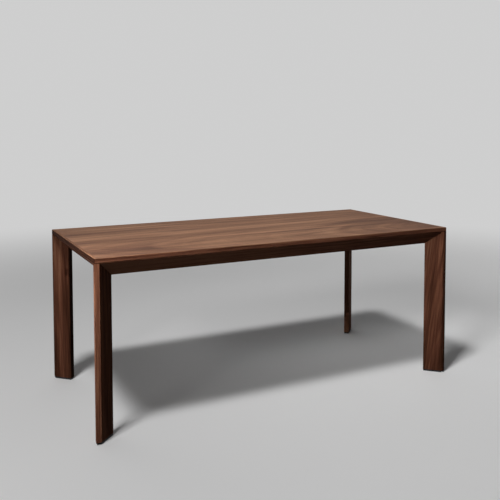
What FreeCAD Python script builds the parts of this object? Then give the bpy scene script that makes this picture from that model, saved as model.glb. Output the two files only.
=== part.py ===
import FreeCAD, Part

import os

import Sketcher
from FreeCAD import Placement, Rotation, Vector

# A dining table whose legs and aprons are all cut from one section of board.
# Each leg stands on the diagonal of its corner, each apron is set at 45 degrees under the rim,
# and where they meet the two boards mitre into each other.
# Millimetres. Origin on the floor under the middle of the top, +X along the length, +Z up.

SIZES = {
    # the whole table
    "table_length": 1800,
    "table_width": 850,
    "table_height": 750,
    # the top
    "top_thickness": 20,
    "veneer_thickness": 1,
    "lipping_width": 10,
    "edge_radius": 1.5,
    # the boards of the legs and aprons
    "board_thickness": 28,
    "board_face": 92,
    # corner blocks, behind the legs
    "block_thickness": 40,
    "block_depth": 50,
    # cleats, along the inside of the aprons
    "cleat_width": 60,
    "cleat_depth": 22,
    "cleat_gap": 8,
    # cross rails, under the top
    "rail_width": 30,
    "rail_depth": 36,
    "rail_spacing": 600,
    # glide pads
    "glide_thickness": 8,
    "glide_inset": 1,
    # hanger bolts that hold the legs, with their washers and nuts
    "bolt_radius": 4,
    "bolt_grip": 45,
    "bolt_tail": 5,
    "bolt_clearance": 0.5,
    "bolt_drop": 15,
    "bolt_pitch": 23,
    "washer_radius": 10,
    "washer_thickness": 2,
    "nut_flats": 13,
    "nut_height": 6.5,
    # wood screws
    "screw_radius": 2,
    "screw_head_radius": 4,
    "screw_tip": 5,
    "screw_sink": 0.5,
    "cleat_screw_length": 34,
    "rail_screw_length": 46,
    "apron_screw_length": 32,
    "apron_screw_sink": 6,
    "apron_screw_crossing": 12,
    # small screws that hold the glide pads
    "glide_screw_radius": 1.5,
    "glide_screw_head_radius": 2.75,
    "glide_screw_tip": 3,
    "glide_screw_length": 20,
    "glide_screw_sink": 0.8,
    "glide_screw_margin": 22,
    # the driver's recess in the head of a wood screw
    "recess_reach": 1.6,
    "recess_half_width": 0.5,
    "recess_depth": 1.2,
}

# Sizes that follow from those in the sheet, as expressions.
UNDERSIDE = "(Sizes.table_height - Sizes.top_thickness)"
PANEL_LENGTH = "(Sizes.table_length - 2 * Sizes.lipping_width)"
PANEL_WIDTH = "(Sizes.table_width - 2 * Sizes.lipping_width)"
# An apron seen end on: how far its face runs in and down, and where its inner edge lies.
BEVEL = "(Sizes.board_face / sqrt(2))"
SEAT = "(Sizes.board_thickness * sqrt(2))"
APRON_INSIDE = "((Sizes.board_face + Sizes.board_thickness) / sqrt(2))"
APRON_INNER_DROP = "((Sizes.board_face - Sizes.board_thickness) / sqrt(2))"
# A leg seen from above, measured in from its corner along the diagonal.
LEG_HALF = "(Sizes.board_thickness / 2)"
LEG_END = "(Sizes.board_thickness / 2 + Sizes.board_face)"
BLOCK_END = f"({LEG_END} + Sizes.block_thickness)"
# A cleat, measured in from the rim and in from the corner.
CLEAT_OUTSIDE = f"({SEAT} + Sizes.cleat_depth)"
CLEAT_INSIDE = f"({SEAT} + Sizes.cleat_width)"
CLEAT_START = f"({BLOCK_END} * sqrt(2) - {SEAT} + Sizes.cleat_gap)"
# From the middle of the table to a cross rail.
HALF_SPACING = "(Sizes.rail_spacing / 2)"

# Each side's turn about Z from the front, and each corner's turn that points x inwards from it.
SIDE_ANGLES = {"front": 0, "right": 90, "back": 180, "left": 270}
CORNER_ANGLES = {"front_left": 45, "front_right": 135, "back_right": 225, "back_left": 315}
LONG_SIDES = ("front", "back")
UP = Vector(0, 0, 1)

doc = FreeCAD.newDocument("DiningTable")
sub_parts = []


# ---- working the document ----

def fill_sheet():
    sheet = doc.addObject("Spreadsheet::Sheet", "Sizes")
    for row, (alias, size) in enumerate(SIZES.items(), start=1):
        sheet.set(f"A{row}", alias)
        sheet.set(f"B{row}", str(size))
        sheet.setAlias(f"B{row}", alias)
    doc.recompute()


def keep(sub_part, label):
    """Count an object as one of the table's pieces, under the name it is known by."""
    sub_part.Label = label
    sub_parts.append(sub_part)
    return sub_part


def place(item, x="0", y="0", z="0", turn=None):
    """Turn an object, then bind where it stands to expressions."""
    item.Placement = Placement(Vector(), turn or Rotation())
    for axis, distance in (("x", x), ("y", y), ("z", z)):
        item.setExpression(f"Placement.Base.{axis}", distance)


def body_named(name):
    return doc.addObject("PartDesign::Body", name)


def sketch_on(body, role, name, turn=None):
    """An empty sketch on one of a body's own origin planes, turned within that plane's frame."""
    sketch = body.newObject("Sketcher::SketchObject", name)
    plane = next(item for item in body.Origin.OriginFeatures if item.Role == role)
    sketch.AttachmentSupport = [(plane, "")]
    sketch.MapMode = "FlatFace"
    if turn:
        sketch.AttachmentOffset = Placement(Vector(), turn)
    return sketch


def dimension(sketch, kind, element, size):
    """Dimension one element of a sketch by an expression."""
    index = sketch.addConstraint(Sketcher.Constraint(kind, *element, 1.0))
    sketch.setExpression(f"Constraints[{index}]", size)


def outline(sketch, corners):
    """A closed polygon, each corner dimensioned from the sketch's origin."""
    first = sketch.GeometryCount
    count = len(corners)
    start = Vector(SIZES["board_thickness"], 0, 0)
    rough = [Rotation(UP, 360 * i / count).multVec(start) for i in range(count)]
    for i in range(count):
        sketch.addGeometry(Part.LineSegment(rough[i], rough[(i + 1) % count]))
    for i in range(count):
        following = first + (i + 1) % count
        sketch.addConstraint(Sketcher.Constraint("Coincident", first + i, 2, following, 1))
    for i, (x, y) in enumerate(corners):
        dimension(sketch, "DistanceX", (-1, 1, first + i, 1), x)
        dimension(sketch, "DistanceY", (-1, 1, first + i, 1), y)
    return sketch


def circle(sketch, x, y, radius):
    """A circle, its centre dimensioned from the sketch's origin."""
    index = sketch.addGeometry(Part.Circle(Vector(), UP, 1))
    dimension(sketch, "DistanceX", (-1, 1, index, 3), x)
    dimension(sketch, "DistanceY", (-1, 1, index, 3), y)
    dimension(sketch, "Radius", (index,), radius)
    return sketch


def pad(body, sketch, length, downwards=False, both_ways=False):
    feature = body.newObject("PartDesign::Pad", sketch.Name + "_pad")
    feature.Profile = sketch
    feature.Reversed = downwards
    feature.SideType = "Symmetric" if both_ways else "One side"
    feature.setExpression("Length", length)
    doc.recompute()
    return feature


def revolve(body, sketch):
    """Turn a sketch on the XZ plane once about the body's Z axis."""
    feature = body.newObject("PartDesign::Revolution", sketch.Name + "_turned")
    feature.Profile = sketch
    feature.ReferenceAxis = (sketch, ["V_Axis"])
    feature.Angle = 360
    doc.recompute()
    return feature


def pocket(body, sketch, depth=None):
    """Cut upwards to a depth, or without one right through the body both ways."""
    before = body.Shape.Volume
    feature = body.newObject("PartDesign::Pocket", sketch.Name + "_cut")
    feature.Profile = sketch
    if depth:
        feature.Reversed = True
        feature.setExpression("Length", depth)
    else:
        feature.Type = "ThroughAll"
        feature.SideType = "Symmetric"
    doc.recompute()
    if not feature.Shape.Volume < before:
        raise RuntimeError(f"{feature.Name} removes nothing")
    return feature


def ease(body, feature, chosen):
    """Round those edges of a feature whose two ends pass a test."""
    names = [
        f"Edge{number}"
        for number, edge in enumerate(feature.Shape.Edges, start=1)
        if chosen(*(vertex.Point for vertex in edge.Vertexes))
    ]
    fillet = body.newObject("PartDesign::Fillet", feature.Name + "_eased")
    fillet.Base = (feature, names)
    fillet.setExpression("Radius", "Sizes.edge_radius")
    doc.recompute()
    return fillet


def boolean(kind, name, base, tool):
    result = doc.addObject(kind, name)
    result.Base = base
    result.Tool = tool
    return result


def group(name, members):
    compound = doc.addObject("Part::Compound", name)
    compound.Links = members
    return compound


def drilled(label, blank, bores):
    """A wooden piece: its blank, less the bores that its fasteners fill."""
    blank.Label = label + "_blank"
    keep(boolean("Part::Cut", label, blank, group(label + "_bores", bores)), label)


def scatter(name, master, spots):
    """Copies of one object, each at a point given as expressions, and turned."""
    copies = []
    for number, (point, turn) in enumerate(spots, start=1):
        copy = doc.addObject("App::Link", f"{name}_{number}")
        copy.LinkedObject = master
        place(copy, *point, turn)
        copies.append(copy)
    return group(name, copies)


def at_corner(corner, inwards, z):
    """A point that lies inwards along a corner's diagonal."""
    diagonal = Rotation(UP, CORNER_ANGLES[corner]).multVec(Vector(1, 0, 0))
    east = -1 if diagonal.x > 0 else 1
    north = -1 if diagonal.y > 0 else 1
    x = f"{east} * (Sizes.table_length / 2 - {inwards} / sqrt(2))"
    y = f"{north} * (Sizes.table_width / 2 - {inwards} / sqrt(2))"
    return x, y, z


def side_length(side):
    return "Sizes.table_length" if side in LONG_SIDES else "Sizes.table_width"


def at_side(side, along, inwards, z):
    """A point along one side of the table, measured from its middle, and inwards from its rim."""
    across = "Sizes.table_width" if side in LONG_SIDES else "Sizes.table_length"
    run = Rotation(UP, SIDE_ANGLES[side]).multVec(Vector(1, 0, 0))
    facing = Rotation(UP, SIDE_ANGLES[side]).multVec(Vector(0, 1, 0))
    x = f"{round(run.x)} * ({along}) + {round(facing.x)} * ({inwards} - {across} / 2)"
    y = f"{round(run.y)} * ({along}) + {round(facing.y)} * ({inwards} - {across} / 2)"
    return x, y, z


def spread(start, end, count):
    """Places along a stretch, each in the middle of one of its equal shares."""
    return [
        f"({start} + ({end} - {start}) * {2 * number + 1} / {2 * count})"
        for number in range(count)
    ]


# ---- fasteners ----

def screw_profile(body, name, radius, head_radius, tip, length, access="0"):
    """Half of a countersunk screw: its flat head at zero, its point up, and a way in below."""
    profile = sketch_on(body, "XZ_Plane", name + "_profile")
    corners = [
        ("0", "0"),
        (head_radius, "0"),
        (radius, f"{head_radius} - {radius}"),
        (radius, f"{length} - {tip}"),
        ("0", length),
    ]
    if access != "0":
        corners[0] = ("0", f"-({access})")
        corners.insert(1, (head_radius, f"-({access})"))
    return revolve(body, outline(profile, corners))


def screw(name, radius, head_radius, tip, length):
    """A countersunk wood screw with a cross recess in its head."""
    body = body_named(name)
    screw_profile(body, name, radius, head_radius, tip, length)
    recess = sketch_on(body, "XY_Plane", name + "_recess")
    reach = "Sizes.recess_reach"
    half = "Sizes.recess_half_width"
    outline(recess, [
        (half, half), (reach, half), (reach, f"-{half}"), (half, f"-{half}"),
        (half, f"-{reach}"), (f"-{half}", f"-{reach}"), (f"-{half}", f"-{half}"),
        (f"-{reach}", f"-{half}"), (f"-{reach}", half), (f"-{half}", half),
        (f"-{half}", reach), (half, reach),
    ])
    pocket(body, recess, "Sizes.recess_depth")
    return body


def screw_bore(name, radius, head_radius, tip, length, sink):
    """The hole that a screw fills, open to the surface that its head is sunk below."""
    body = body_named(name)
    access = f"{sink} + 2 * {head_radius}"
    screw_profile(body, name, radius, head_radius, tip, length, access)
    return body


def screws(label, sizes, sink, spots):
    """A named set of screws, and the bores that they fill."""
    keep(scatter(label, screw(label + "_one", *sizes), spots), label)
    return scatter(label + "_holes", screw_bore(label + "_bore", *sizes, sink), spots)


def wood_screw(length):
    return "Sizes.screw_radius", "Sizes.screw_head_radius", "Sizes.screw_tip", length


def hanger_bolt():
    """A bolt from the leg's inner end at zero: its grip in the leg below, its nut end above."""
    body = body_named("HangerBolt")
    radius = "Sizes.bolt_radius"
    grip = "Sizes.bolt_grip"
    reach = (
        "(Sizes.block_thickness + Sizes.washer_thickness + Sizes.nut_height + Sizes.bolt_tail)"
    )
    bevel = f"({radius} / 4)"
    revolve(body, outline(sketch_on(body, "XZ_Plane", "HangerBolt_profile"), [
        ("0", f"-{grip}"),
        (radius, f"{radius} - {grip}"),
        (radius, f"{reach} - {bevel}"),
        (f"{radius} - {bevel}", reach),
        ("0", reach),
    ]))
    return body


def washer():
    body = body_named("Washer")
    ring = sketch_on(body, "XY_Plane", "Washer_ring")
    circle(ring, "0", "0", "Sizes.washer_radius")
    circle(ring, "0", "0", "Sizes.bolt_radius + Sizes.bolt_clearance")
    pad(body, ring, "Sizes.washer_thickness")
    return body


def nut():
    body = body_named("Nut")
    flats = "Sizes.nut_flats"
    hexagon = sketch_on(body, "XY_Plane", "Nut_hexagon")
    outline(hexagon, [
        (f"{flats} / sqrt(3)", "0"),
        (f"{flats} / sqrt(12)", f"{flats} / 2"),
        (f"-{flats} / sqrt(12)", f"{flats} / 2"),
        (f"-{flats} / sqrt(3)", "0"),
        (f"-{flats} / sqrt(12)", f"-{flats} / 2"),
        (f"{flats} / sqrt(12)", f"-{flats} / 2"),
    ])
    circle(hexagon, "0", "0", "Sizes.bolt_radius")
    pad(body, hexagon, "Sizes.nut_height")
    return body


def make_leg_bolts():
    """Two hanger bolts to a leg, with their washers and nuts behind the corner block."""
    drops = ("Sizes.bolt_drop", "(Sizes.bolt_drop + Sizes.bolt_pitch)")
    seats = {
        "hanger_bolts": (hanger_bolt(), LEG_END),
        "leg_washers": (washer(), BLOCK_END),
        "leg_nuts": (nut(), f"({BLOCK_END} + Sizes.washer_thickness)"),
    }
    for label, (master, inwards) in seats.items():
        spots = []
        for corner, turn in CORNER_ANGLES.items():
            inward = Rotation(UP, turn) * Rotation(Vector(0, 1, 0), 90)
            for drop in drops:
                spots.append((at_corner(corner, inwards, f"{UNDERSIDE} - {drop}"), inward))
        keep(scatter(label, master, spots), label)
    return doc.getObject("hanger_bolts")


def make_cleat_screws():
    """Upright screws through the cleats into the top."""
    middle = f"({CLEAT_OUTSIDE} + {CLEAT_INSIDE}) / 2"
    height = f"{UNDERSIDE} - Sizes.cleat_depth + Sizes.screw_sink"
    spots = []
    for side in SIDE_ANGLES:
        end = f"({side_length(side)} / 2 - {CLEAT_START})"
        if side in LONG_SIDES:
            distances = spread(HALF_SPACING, end, 2)
        else:
            distances = spread("0", end, 2)[1:]
        places = ["0"] + [f"{way} * {distance}" for distance in distances for way in (-1, 1)]
        for along in places:
            spots.append((at_side(side, along, middle, height), Rotation()))
    sizes = wood_screw("Sizes.cleat_screw_length")
    return screws("cleat_top_screws", sizes, "Sizes.screw_sink", spots)


def across_apron(side, along):
    """Where a screw starts that runs out and down through a cleat or block into the apron."""
    sink = "Sizes.apron_screw_sink / sqrt(2)"
    inwards = f"{SEAT} + 2 * Sizes.apron_screw_crossing - {sink}"
    slope = Rotation(UP, SIDE_ANGLES[side]) * Rotation(Vector(1, 0, 0), 135)
    return at_side(side, along, inwards, f"{UNDERSIDE} - {sink}"), slope


def make_cleat_apron_screws():
    """Sloping screws through the cleats into the aprons."""
    spots = []
    for side in SIDE_ANGLES:
        end = f"({side_length(side)} / 2 - {CLEAT_START})"
        if side in LONG_SIDES:
            distances = spread("0", HALF_SPACING, 1) + spread(HALF_SPACING, end, 1)
        else:
            distances = spread("0", end, 1)
        for distance in distances:
            for way in (-1, 1):
                spots.append(across_apron(side, f"{way} * {distance}"))
    sizes = wood_screw("Sizes.apron_screw_length")
    return screws("cleat_apron_screws", sizes, "Sizes.apron_screw_sink", spots)


def make_block_screws():
    """Sloping screws through the corner blocks into the aprons, two to each side of a block."""
    spots = []
    for side in SIDE_ANGLES:
        for diagonal in spread(LEG_END, BLOCK_END, 2):
            from_corner = f"({diagonal} * sqrt(2) - {SEAT} - Sizes.apron_screw_crossing)"
            for way in (-1, 1):
                along = f"{way} * ({side_length(side)} / 2 - {from_corner})"
                spots.append(across_apron(side, along))
    sizes = wood_screw("Sizes.apron_screw_length")
    return screws("block_screws", sizes, "Sizes.apron_screw_sink", spots)


def make_rail_screws():
    """Upright screws through the cross rails into the top."""
    height = f"{UNDERSIDE} - Sizes.rail_depth + Sizes.screw_sink"
    spots = []
    for way in (-1, 1):
        for along in spread("-Sizes.table_width / 2", "Sizes.table_width / 2", 3):
            point = (f"{way} * {HALF_SPACING}", along, height)
            spots.append((point, Rotation()))
    sizes = wood_screw("Sizes.rail_screw_length")
    return screws("rail_screws", sizes, "Sizes.screw_sink", spots)


def make_glide_screws():
    """Two small screws up through each glide pad into the leg."""
    spots = []
    margin = "Sizes.glide_screw_margin"
    for corner in CORNER_ANGLES:
        for inwards in (f"({LEG_HALF} + {margin})", f"({LEG_END} - {margin})"):
            spots.append((at_corner(corner, inwards, "Sizes.glide_screw_sink"), Rotation()))
    sizes = (
        "Sizes.glide_screw_radius",
        "Sizes.glide_screw_head_radius",
        "Sizes.glide_screw_tip",
        "Sizes.glide_screw_length",
    )
    return screws("glide_screws", sizes, "Sizes.glide_screw_sink", spots)


# ---- the top ----

def rounded_slab():
    """The outside of the whole top, with every edge eased."""
    body = body_named("RoundedSlab")
    plan = sketch_on(body, "XY_Plane", "SlabPlan")
    outline(plan, [at_corner(corner, "0", "0")[:2] for corner in CORNER_ANGLES])
    slab = pad(body, plan, "Sizes.top_thickness")
    ease(body, slab, lambda start, end: True)
    place(body, z=UNDERSIDE)
    return body


def lipping(side, slab):
    """One solid edge strip, mitred to its neighbours and rounded as the slab is."""
    length = side_length(side)
    width = "Sizes.lipping_width"
    body = body_named(f"LippingStrip_{side}")
    plan = sketch_on(body, "XY_Plane", f"LippingPlan_{side}")
    outline(plan, [
        (f"-{length} / 2", "0"),
        (f"{length} / 2", "0"),
        (f"{length} / 2 - {width}", width),
        (f"{width} - {length} / 2", width),
    ])
    pad(body, plan, "Sizes.top_thickness")
    place(body, *at_side(side, "0", "0", UNDERSIDE), Rotation(UP, SIDE_ANGLES[side]))
    label = f"lipping_{side}"
    keep(boolean("Part::Common", label, slab, body), label)


def panel_layer(label, bottom, thickness):
    """One layer of the panel inside the lippings."""
    layer = doc.addObject("Part::Box", label + "_board")
    layer.setExpression("Length", PANEL_LENGTH)
    layer.setExpression("Width", PANEL_WIDTH)
    layer.setExpression("Height", thickness)
    place(layer, f"-{PANEL_LENGTH} / 2", f"-{PANEL_WIDTH} / 2", bottom)
    return layer


def make_top(bores):
    """Face veneer, core and backing veneer, framed by four lippings."""
    slab = rounded_slab()
    for side in SIDE_ANGLES:
        lipping(side, slab)
    veneer = "Sizes.veneer_thickness"
    core_thickness = f"Sizes.top_thickness - 2 * {veneer}"
    drilled("backing_veneer", panel_layer("backing_veneer", UNDERSIDE, veneer), bores)
    core = panel_layer("top_core", f"{UNDERSIDE} + {veneer}", core_thickness)
    drilled("top_core", core, bores)
    face = panel_layer("top_veneer", f"Sizes.table_height - {veneer}", veneer)
    keep(face, "top_veneer")


# ---- aprons, cleats and cross rails ----

def make_apron(side, bores):
    """A board at 45 degrees under the rim, its ends mitred to the wide faces of two legs."""
    length = side_length(side)
    body = body_named(f"ApronBoard_{side}")
    section = sketch_on(body, "YZ_Plane", f"ApronSection_{side}")
    flat = "Sizes.edge_radius"
    outline(section, [
        (flat, "0"),
        (flat, f"-{flat}"),
        (BEVEL, f"-{BEVEL}"),
        (APRON_INSIDE, f"-{APRON_INNER_DROP}"),
        (SEAT, "0"),
    ])
    board = pad(body, section, length, both_ways=True)
    lower_half = board.Shape.BoundBox.Center.z
    ease(body, board, lambda start, end: start.x != end.x and start.z < lower_half)
    ends = sketch_on(body, "XY_Plane", f"ApronEnds_{side}")
    beyond = "(Sizes.board_face + Sizes.board_thickness)"
    for way in (-1, 1):
        toe = f"({length} / 2 - Sizes.board_thickness / sqrt(2))"
        outline(ends, [
            (f"{way} * ({toe} + {beyond})", f"-{beyond}"),
            (f"{way} * ({toe} - {beyond})", beyond),
            (f"{way} * ({toe} + {beyond})", beyond),
        ])
    pocket(body, ends)
    place(body, *at_side(side, "0", "0", UNDERSIDE), Rotation(UP, SIDE_ANGLES[side]))
    drilled(f"apron_{side}", body, bores)


def make_cleat(side, bores):
    """A batten in the angle between an apron and the top."""
    length = side_length(side)
    body = body_named(f"CleatBatten_{side}")
    section = sketch_on(body, "YZ_Plane", f"CleatSection_{side}")
    depth = "Sizes.cleat_depth"
    outline(section, [
        (SEAT, "0"),
        (CLEAT_OUTSIDE, f"-{depth}"),
        (CLEAT_INSIDE, f"-{depth}"),
        (CLEAT_INSIDE, "0"),
    ])
    pad(body, section, f"{length} - 2 * {CLEAT_START}", both_ways=True)
    place(body, *at_side(side, "0", "0", UNDERSIDE), Rotation(UP, SIDE_ANGLES[side]))
    drilled(f"cleat_{side}", body, bores)


def make_cross_rail(side, way, bores):
    """A rail across the table, notched over the long cleats and cut to the aprons' slope."""
    body = body_named(f"CrossRail_{side}")
    section = sketch_on(body, "YZ_Plane", f"RailSection_{side}")
    depth = "Sizes.rail_depth"
    half = "Sizes.table_width / 2"
    end = [
        (f"({half} - {CLEAT_INSIDE})", "0"),
        (f"({half} - {CLEAT_INSIDE})", "-Sizes.cleat_depth"),
        (f"({half} - {CLEAT_OUTSIDE})", "-Sizes.cleat_depth"),
        (f"({half} - {SEAT} - {depth})", f"-{depth}"),
    ]
    mirrored = [(f"-{y}", z) for y, z in reversed(end)]
    outline(section, end + mirrored)
    pad(body, section, "Sizes.rail_width", both_ways=True)
    place(body, f"{way} * {HALF_SPACING}", "0", UNDERSIDE)
    drilled(f"cross_rail_{side}", body, bores)


# ---- legs, corner blocks and glides ----

def make_leg(corner, bores):
    """A board on the diagonal, pointed at the corner and square at its inner end."""
    body = body_named(f"LegBoard_{corner}")
    section = sketch_on(body, "XY_Plane", f"LegSection_{corner}")
    outline(section, [
        ("0", "0"),
        (LEG_HALF, f"-{LEG_HALF}"),
        (LEG_END, f"-{LEG_HALF}"),
        (LEG_END, LEG_HALF),
        (LEG_HALF, LEG_HALF),
    ])
    board = pad(body, section, f"{UNDERSIDE} - Sizes.glide_thickness", downwards=True)
    middle = board.Shape.BoundBox.Center.z
    ease(body, board, lambda start, end: min(start.z, end.z) < middle)
    place(body, *at_corner(corner, "0", UNDERSIDE), Rotation(UP, CORNER_ANGLES[corner]))
    drilled(f"leg_{corner}", body, bores)


def make_corner_block(corner, bores):
    """A wedge between two aprons, with a tongue that fills the slot behind the leg."""
    body = body_named(f"BlockWedge_{corner}")
    depth = "Sizes.block_depth"
    plan = sketch_on(body, "XY_Plane", f"WedgePlan_{corner}")
    front = f"({LEG_END} - 2 * Sizes.board_thickness)"
    rear = f"({BLOCK_END} - 2 * Sizes.board_thickness)"
    outline(plan, [
        (LEG_END, f"-{front}"), (BLOCK_END, f"-{rear}"), (BLOCK_END, rear), (LEG_END, front),
    ])
    pad(body, plan, depth, downwards=True)
    for name, turn_across in (("Right", -45), ("Left", 45)):
        across = Rotation(Vector(0, 1, 0), turn_across)
        slope = sketch_on(body, "XZ_Plane", f"Slope{name}_{corner}", across)
        below = f"2 * {depth}"
        outline(slope, [
            ("0", "0"), (SEAT, "0"), (f"{SEAT} + {below}", f"-{below}"), ("0", f"-{below}"),
        ])
        pocket(body, slope)
    tongue = sketch_on(body, "XY_Plane", f"TonguePlan_{corner}")
    outline(tongue, [
        (LEG_END, f"-{LEG_HALF}"), (BLOCK_END, f"-{LEG_HALF}"),
        (BLOCK_END, LEG_HALF), (LEG_END, LEG_HALF),
    ])
    pad(body, tongue, depth, downwards=True)
    holes = sketch_on(body, "YZ_Plane", f"BoltHoles_{corner}")
    for drop in ("Sizes.bolt_drop", "(Sizes.bolt_drop + Sizes.bolt_pitch)"):
        circle(holes, "0", f"-{drop}", "Sizes.bolt_radius + Sizes.bolt_clearance")
    pocket(body, holes)
    place(body, *at_corner(corner, "0", UNDERSIDE), Rotation(UP, CORNER_ANGLES[corner]))
    drilled(f"corner_block_{corner}", body, bores)


def make_glide(corner, bores):
    """A thin pad under a leg, inset all round so that it hides in the shadow."""
    inset = "Sizes.glide_inset"
    half = f"({LEG_HALF} - {inset})"
    nose = f"{inset} * sqrt(2)"
    body = body_named(f"GlidePad_{corner}")
    plan = sketch_on(body, "XY_Plane", f"GlidePlan_{corner}")
    outline(plan, [
        (nose, "0"),
        (f"{nose} + {half}", f"-{half}"),
        (f"{LEG_END} - {inset}", f"-{half}"),
        (f"{LEG_END} - {inset}", half),
        (f"{nose} + {half}", half),
    ])
    pad(body, plan, "Sizes.glide_thickness")
    place(body, *at_corner(corner, "0", "0"), Rotation(UP, CORNER_ANGLES[corner]))
    drilled(f"glide_{corner}", body, bores)


# ---- the table ----

def make_table():
    fill_sheet()
    bolts = make_leg_bolts()
    cleat_bores = make_cleat_screws()
    cleat_apron_bores = make_cleat_apron_screws()
    block_bores = make_block_screws()
    rail_bores = make_rail_screws()
    glide_bores = make_glide_screws()
    make_top([cleat_bores, rail_bores])
    for side in SIDE_ANGLES:
        make_apron(side, [cleat_apron_bores, block_bores])
        make_cleat(side, [cleat_bores, cleat_apron_bores])
    for side, way in (("left", -1), ("right", 1)):
        make_cross_rail(side, way, [rail_bores])
    for corner in CORNER_ANGLES:
        make_leg(corner, [bolts, glide_bores])
        make_corner_block(corner, [block_bores])
        make_glide(corner, [glide_bores])
    doc.recompute()


def check():
    """Stop if anything in the document failed, or a piece has no sound shape."""
    for item in doc.Objects:
        if {"Invalid", "Error"} & set(item.State):
            raise RuntimeError(f"{item.Label} failed: {item.State}")
    for sub_part in sub_parts:
        if sub_part.Shape.isNull() or not sub_part.Shape.isValid():
            raise RuntimeError(f"{sub_part.Label} has no valid shape")


def write():
    os.makedirs("parts", exist_ok=True)
    for sub_part in sub_parts:
        sub_part.Shape.exportStep(f"parts/{sub_part.Label}.step")
        solids = len(sub_part.Shape.Solids)
        print(f"{sub_part.Label}: {solids} solid(s), {sub_part.Shape.Volume / 1000:.2f} cm3")


make_table()
check()
write()
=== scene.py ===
import math

import bpy
from mathutils import Matrix, Vector


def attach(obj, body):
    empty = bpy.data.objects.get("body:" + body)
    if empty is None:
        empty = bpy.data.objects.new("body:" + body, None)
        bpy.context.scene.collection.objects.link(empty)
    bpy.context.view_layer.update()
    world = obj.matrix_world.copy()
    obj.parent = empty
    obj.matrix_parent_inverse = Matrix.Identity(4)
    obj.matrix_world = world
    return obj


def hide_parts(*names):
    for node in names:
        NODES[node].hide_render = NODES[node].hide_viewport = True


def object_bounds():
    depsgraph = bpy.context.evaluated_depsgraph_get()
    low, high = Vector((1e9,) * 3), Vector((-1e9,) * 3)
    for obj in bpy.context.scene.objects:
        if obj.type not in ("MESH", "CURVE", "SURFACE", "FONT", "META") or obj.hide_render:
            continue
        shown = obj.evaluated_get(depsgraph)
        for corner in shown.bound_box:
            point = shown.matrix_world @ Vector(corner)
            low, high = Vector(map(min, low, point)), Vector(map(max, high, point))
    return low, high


# A walnut dining table: a thin veneered top on mitred aprons and diagonal board legs.
# Metres. The floor is at z = 0 and +X runs along the table.

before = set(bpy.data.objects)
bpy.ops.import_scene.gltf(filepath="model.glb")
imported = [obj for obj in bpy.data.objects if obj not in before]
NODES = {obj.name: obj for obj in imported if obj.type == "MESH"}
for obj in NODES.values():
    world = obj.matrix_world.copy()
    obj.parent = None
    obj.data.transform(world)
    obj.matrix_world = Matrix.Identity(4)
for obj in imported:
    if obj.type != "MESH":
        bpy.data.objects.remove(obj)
cad_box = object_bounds()

# Each corner's turn about Z that points a leg's board inwards, in degrees.
CORNERS = {"front_left": 45, "front_right": 135, "back_right": 225, "back_left": 315}
SIDES = ("front", "right", "back", "left")
LONG_SIDES = ("front", "back")
TABLE_HEIGHT = cad_box[1][2]
TOP_THICKNESS = 0.020
UNDERSIDE = TABLE_HEIGHT - TOP_THICKNESS
UNDER_TOP = (0, 0, UNDERSIDE)
BOARD_THICKNESS = 0.028

# Behind each leg: where the leg's board and its corner block end, measured in from the table's
# corner along its diagonal, and how far its two bolts lie below the underside of the top.
LEG_END = 0.106
BLOCK_END = 0.146
BOLT_DROPS = {"upper": 0.015, "lower": 0.038}

# A hanger bolt, along its length from the leg's end at zero. Each thread has its start, end,
# pitch and root radius.
BOLT_TIP = -0.045
BOLT_POINT_END = -0.040
COARSE_THREAD = (-0.039, -0.003, 0.003, 0.0030)
BOLT_SHANK = (-0.002, 0.011)
FINE_THREAD = (0.0125, 0.0525, 0.00125, 0.00335)
BOLT_END = 0.0535
BOLT_RADIUS = 0.00395
BOLT_TIP_RADIUS = 0.0006
BOLT_END_RADIUS = 0.0028

# Washers and nuts. A rim, bevel or hole is given as (height, radius) steps from one face, and is
# the same from the other. A nut is turned by some degrees so that one of its corners points up.
WASHER_THICKNESS = 0.002
WASHER_RIMS = [(0.0003, 0.0045), (0.0, 0.0048), (0.0, 0.0096), (0.0002, 0.0099), (0.0005, 0.0100)]
WASHER_VERTICES = 40
NUT_HEIGHT = 0.0065
NUT_FLATS = 0.013
NUT_TURN = 30
NUT_BEVEL = [(-0.0002, 0.0058), (0.0009, 0.0077)]
NUT_BEVEL_VERTICES = 64
NUT_HOLE = [(-0.0002, 0.0047), (0.0005, 0.0040)]

# A glide pad, a little smaller all round than the end of its leg. Its places are measured in
# from the table's corner, and its screw hole is (height, radius) steps up from the floor.
PAD_INSET = 0.001
PAD_HEIGHT = 0.008
PAD_EASING = 0.0006
PAD_EASING_STEPS = 3
PAD_EASED_ANGLE = 30
PAD_WIDTH = BOARD_THICKNESS - 2 * PAD_INSET
PAD_NOSE = PAD_INSET * math.sqrt(2)
PAD_SHOULDER = PAD_NOSE + PAD_WIDTH / 2
PAD_END = LEG_END - PAD_INSET
PAD_SCREWS = (0.036, 0.084)
PAD_HOLE = [(-0.001, 0.0028), (0.0008, 0.0028), (0.0021, 0.0015), (PAD_HEIGHT + 0.001, 0.0015)]

# Points this near to each other are merged, edges sharper than this, in degrees, stay sharp, and
# a turned piece has so many vertices round it.
SEAM = 0.00001
SMOOTH_ANGLE = 35
TURNED_VERTICES = 32

# The camera: where it stands, how it is turned, in degrees, and its lens.
CAMERA_PLACE = (-1.564, -3.107, 1.275)
CAMERA_DOWN = 3.37
CAMERA_RIGHT = 27.29
CAMERA_LENS = 50.0
CAMERA_SENSOR = 36
CAMERA_SHIFT = (-0.016, -0.170)

# The lamps: each one's place, aim, size, power and spread in degrees.
LAMPS = {
    "key": ((-3.2, -2.4, 8.1), (0, 0, 0.5), 1.3, 364, 180),
    "window": ((-3.4, -2.7, 3.0), (0.9, -0.35, 1.65), 1.2, 17, 50),
    "softbox": ((-2.1, -1.1, 1.5), (-0.95, -0.40, 0.60), 0.3, 3.4, 44),
}

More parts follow.
